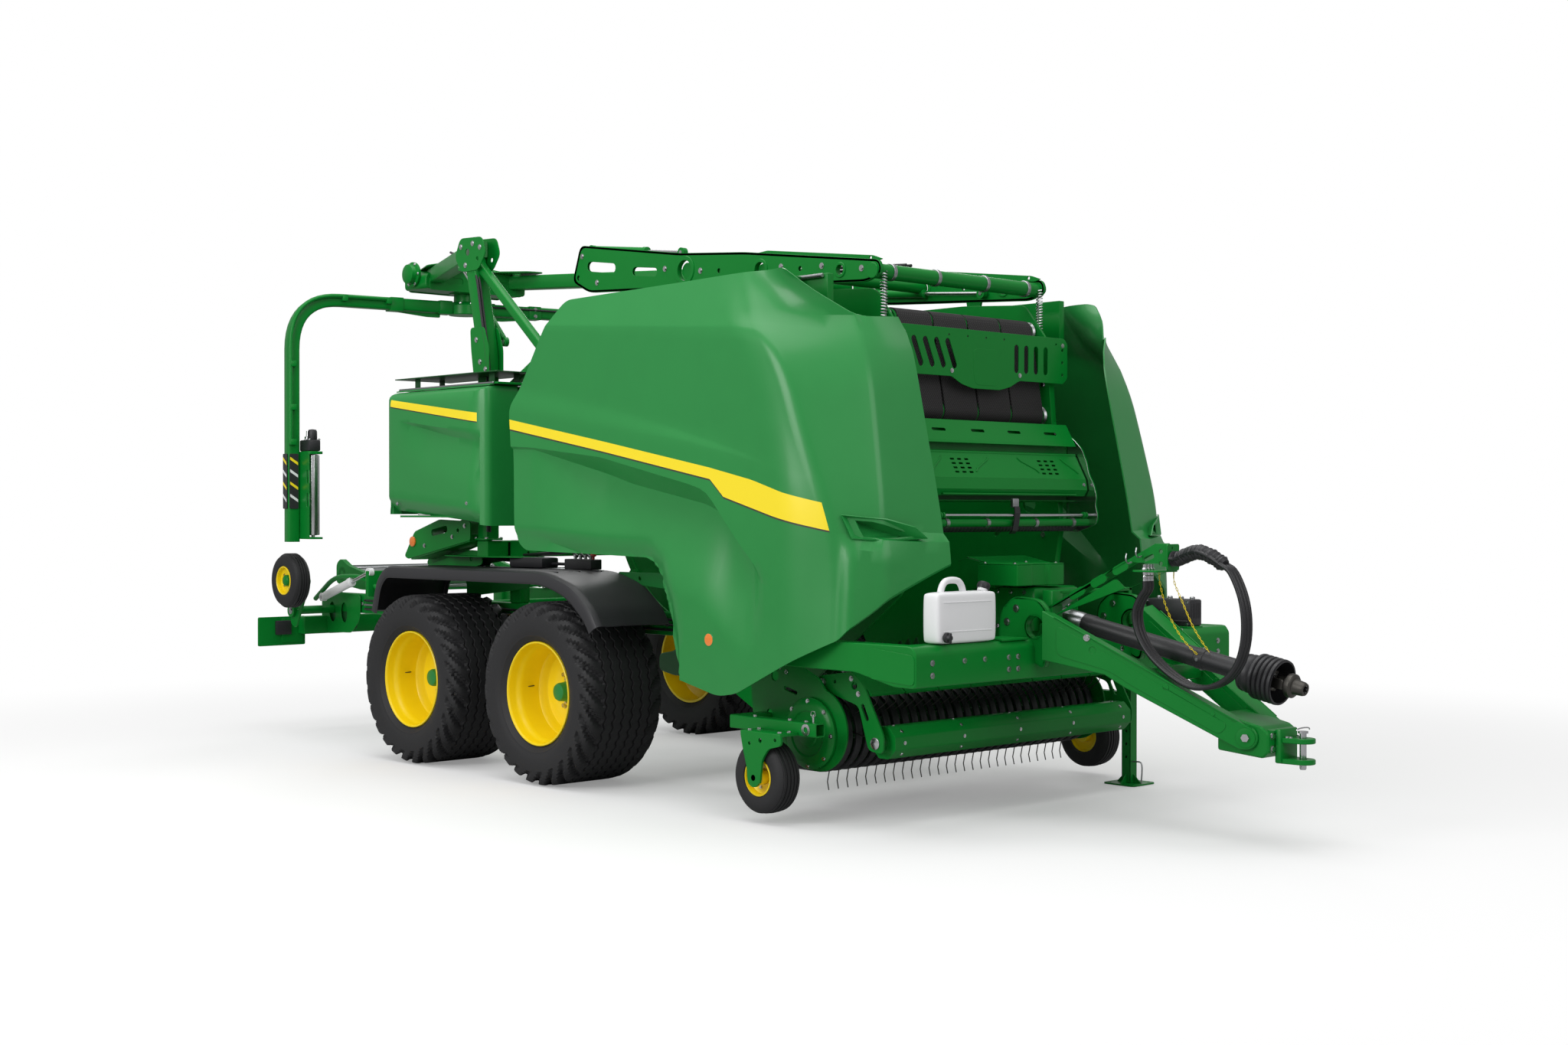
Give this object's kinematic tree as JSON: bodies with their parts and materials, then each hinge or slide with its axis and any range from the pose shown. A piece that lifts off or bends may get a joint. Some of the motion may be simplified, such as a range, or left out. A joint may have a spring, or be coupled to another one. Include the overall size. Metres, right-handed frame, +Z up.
{
  "type": "towed round baler with film wrapper",
  "caption": "Towed round baler with a trailing turntable film wrapper, tandem wheels, side shields, tine pickup and low drawbar on a parking jack.",
  "frame": {"origin": "on the ground, under the middle of the overall length and width", "axes": "+X forward to the hitch, +Y to the left side, +Z up"},
  "size_m": [7.695, 2.84, 3.388],
  "materials": {
    "green_paint": "gloss",
    "dark_green_paint": "satin",
    "yellow_paint": "gloss",
    "tyre_rubber": "matt",
    "black_plastic": "matt",
    "steel": "satin",
    "white_plastic": "satin",
    "hose_rubber": "satin"
  },
  "bodies": {
    "chassis": {"chassis_frame": "green_paint", "cross_beam": "green_paint", "drawbar": "green_paint", "hitch_clevis": "green_paint", "jack_sleeve": "green_paint", "bogie_right": "dark_green_paint", "bogie_left": "dark_green_paint", "chamber_side_right": "green_paint", "chamber_side_left": "green_paint", "belt_loop": "black_plastic", "front_grille": "green_paint", "binding_box": "green_paint", "tension_frame": "green_paint", "gantry": "green_paint", "film_rack_right": "green_paint", "film_rack_left": "green_paint", "fender_right": "black_plastic", "fender_left": "black_plastic", "gearbox": "green_paint", "pto_guard": "black_plastic", "hose_bracket": "green_paint", "hose_sleeve": "black_plastic", "hose_1": "hose_rubber", "hose_2": "hose_rubber", "hose_3": "hose_rubber", "guard_chain_1": "yellow_paint", "guard_chain_2": "yellow_paint", "tank": "white_plastic"},
    "wheel_front_right": {"tyre_front_right": "tyre_rubber", "rim_front_right": "yellow_paint"},
    "wheel_front_left": {"tyre_front_left": "tyre_rubber", "rim_front_left": "yellow_paint"},
    "wheel_rear_right": {"tyre_rear_right": "tyre_rubber", "rim_rear_right": "yellow_paint"},
    "wheel_rear_left": {"tyre_rear_left": "tyre_rubber", "rim_rear_left": "yellow_paint"},
    "jack": {"jack_leg": "green_paint"},
    "pickup": {"pickup_frame": "green_paint", "pickup_bands": "dark_green_paint"},
    "reel": {"pickup_reel": "steel"},
    "gauge_right": {"gauge_wheel_right": "tyre_rubber"},
    "gauge_left": {"gauge_wheel_left": "tyre_rubber"},
    "wind_guard": {"wind_guard": "green_paint"},
    "guard_roller": {"wind_guard_roller": "green_paint"},
    "rotor": {"feed_rotor": "dark_green_paint"},
    "cover": {"binding_cover": "green_paint"},
    "tailgate": {"tailgate": "green_paint"},
    "shield_right": {"side_shield_right": "green_paint"},
    "shield_left": {"side_shield_left": "green_paint"},
    "door_right": {"film_door_right": "green_paint"},
    "door_left": {"film_door_left": "green_paint"},
    "wrapper": {"wrap_arm": "green_paint", "film_dispenser_left": "steel", "film_dispenser_right": "steel"},
    "table": {"wrapping_table": "green_paint"},
    "roller_front": {"table_roller_front": "steel"},
    "roller_rear": {"table_roller_rear": "steel"},
    "turner": {"turner_arm": "green_paint"},
    "turner_wheel": {"turner_wheel": "tyre_rubber"},
    "driveshaft": {"pto_shaft": "steel"}
  },
  "joints": [
    {"name": "wheel_front_right_spin", "type": "hinge", "parent": "chassis", "child": "wheel_front_right", "pos_m": [-0.3575, -1.14, 0.53], "axis": [0, 1, 0], "continuous": true},
    {"name": "wheel_front_left_spin", "type": "hinge", "parent": "chassis", "child": "wheel_front_left", "pos_m": [-0.3575, 1.14, 0.53], "axis": [0, 1, 0], "continuous": true},
    {"name": "wheel_rear_right_spin", "type": "hinge", "parent": "chassis", "child": "wheel_rear_right", "pos_m": [-1.6955, -1.14, 0.53], "axis": [0, 1, 0], "continuous": true},
    {"name": "wheel_rear_left_spin", "type": "hinge", "parent": "chassis", "child": "wheel_rear_left", "pos_m": [-1.6955, 1.14, 0.53], "axis": [0, 1, 0], "continuous": true},
    {"name": "pickup_lift", "type": "hinge", "parent": "chassis", "child": "pickup", "pos_m": [1.1425, 0, 0.86], "axis": [0, -1, 0], "range_deg": [0, 8]},
    {"name": "reel_spin", "type": "hinge", "parent": "pickup", "child": "reel", "pos_m": [1.5825, 0, 0.44], "axis": [0, 1, 0], "continuous": true},
    {"name": "gauge_right_spin", "type": "hinge", "parent": "pickup", "child": "gauge_right", "pos_m": [1.5225, -1.32, 0.238], "axis": [0, 1, 0], "continuous": true},
    {"name": "gauge_left_spin", "type": "hinge", "parent": "pickup", "child": "gauge_left", "pos_m": [1.5225, 1.32, 0.238], "axis": [0, 1, 0], "continuous": true},
    {"name": "wind_guard_lift", "type": "hinge", "parent": "pickup", "child": "wind_guard", "pos_m": [1.6325, 0, 0.705], "axis": [0, -1, 0], "range_deg": [0, 14]},
    {"name": "guard_roller_spin", "type": "hinge", "parent": "wind_guard", "child": "guard_roller", "pos_m": [2.0025, 0, 0.42], "axis": [0, 1, 0], "continuous": true},
    {"name": "rotor_spin", "type": "hinge", "parent": "chassis", "child": "rotor", "pos_m": [0.7925, 0, 0.62], "axis": [0, 1, 0], "continuous": true},
    {"name": "cover_open", "type": "hinge", "parent": "chassis", "child": "cover", "pos_m": [1.9045, 0, 1.88], "axis": [0, -1, 0], "range_deg": [0, 80]},
    {"name": "tailgate_open", "type": "hinge", "parent": "chassis", "child": "tailgate", "pos_m": [0.2625, 0, 2.72], "axis": [0, 1, 0], "range_deg": [0, 60]},
    {"name": "shield_right_open", "type": "hinge", "parent": "chassis", "child": "shield_right", "pos_m": [-0.3575, -0.985, 2.8], "axis": [-1, 0, 0], "range_deg": [0, 60]},
    {"name": "door_right_open", "type": "hinge", "parent": "chassis", "child": "door_right", "pos_m": [-1.2575, -1.318, 2.352], "axis": [-1, 0, 0], "range_deg": [0, 75]},
    {"name": "shield_left_open", "type": "hinge", "parent": "chassis", "child": "shield_left", "pos_m": [-0.3575, 0.985, 2.8], "axis": [1, 0, 0], "range_deg": [0, 60]},
    {"name": "door_left_open", "type": "hinge", "parent": "chassis", "child": "door_left", "pos_m": [-1.2575, 1.318, 2.352], "axis": [1, 0, 0], "range_deg": [0, 75]},
    {"name": "wrap_arm_spin", "type": "hinge", "parent": "chassis", "child": "wrapper", "pos_m": [-3.1575, 0, 3.06], "axis": [0, 0, 1], "continuous": true},
    {"name": "table_tilt", "type": "hinge", "parent": "chassis", "child": "table", "pos_m": [-3.1375, 0, 1.03], "axis": [0, -1, 0], "range_deg": [0, 15]},
    {"name": "roller_front_spin", "type": "hinge", "parent": "table", "child": "roller_front", "pos_m": [-2.5175, 0, 1.12], "axis": [0, 1, 0], "continuous": true},
    {"name": "roller_rear_spin", "type": "hinge", "parent": "table", "child": "roller_rear", "pos_m": [-3.7175, 0, 1.13], "axis": [0, 1, 0], "continuous": true},
    {"name": "turner_lower", "type": "hinge", "parent": "chassis", "child": "turner", "pos_m": [-3.6375, -1.12, 0.88], "axis": [0, -1, 0], "range_deg": [0, 45]},
    {"name": "turner_wheel_spin", "type": "hinge", "parent": "turner", "child": "turner_wheel", "pos_m": [-3.4575, -1.24, 1.1], "axis": [0, 1, 0], "continuous": true},
    {"name": "driveshaft_spin", "type": "hinge", "parent": "chassis", "child": "driveshaft", "pos_m": [2.5175, 0, 1], "axis": [0.9809, 0, -0.1946], "continuous": true},
    {"name": "jack_slide", "type": "slide", "parent": "chassis", "child": "jack", "axis": [0, 0, 1], "range_m": [0, 0.3]}
  ]
}
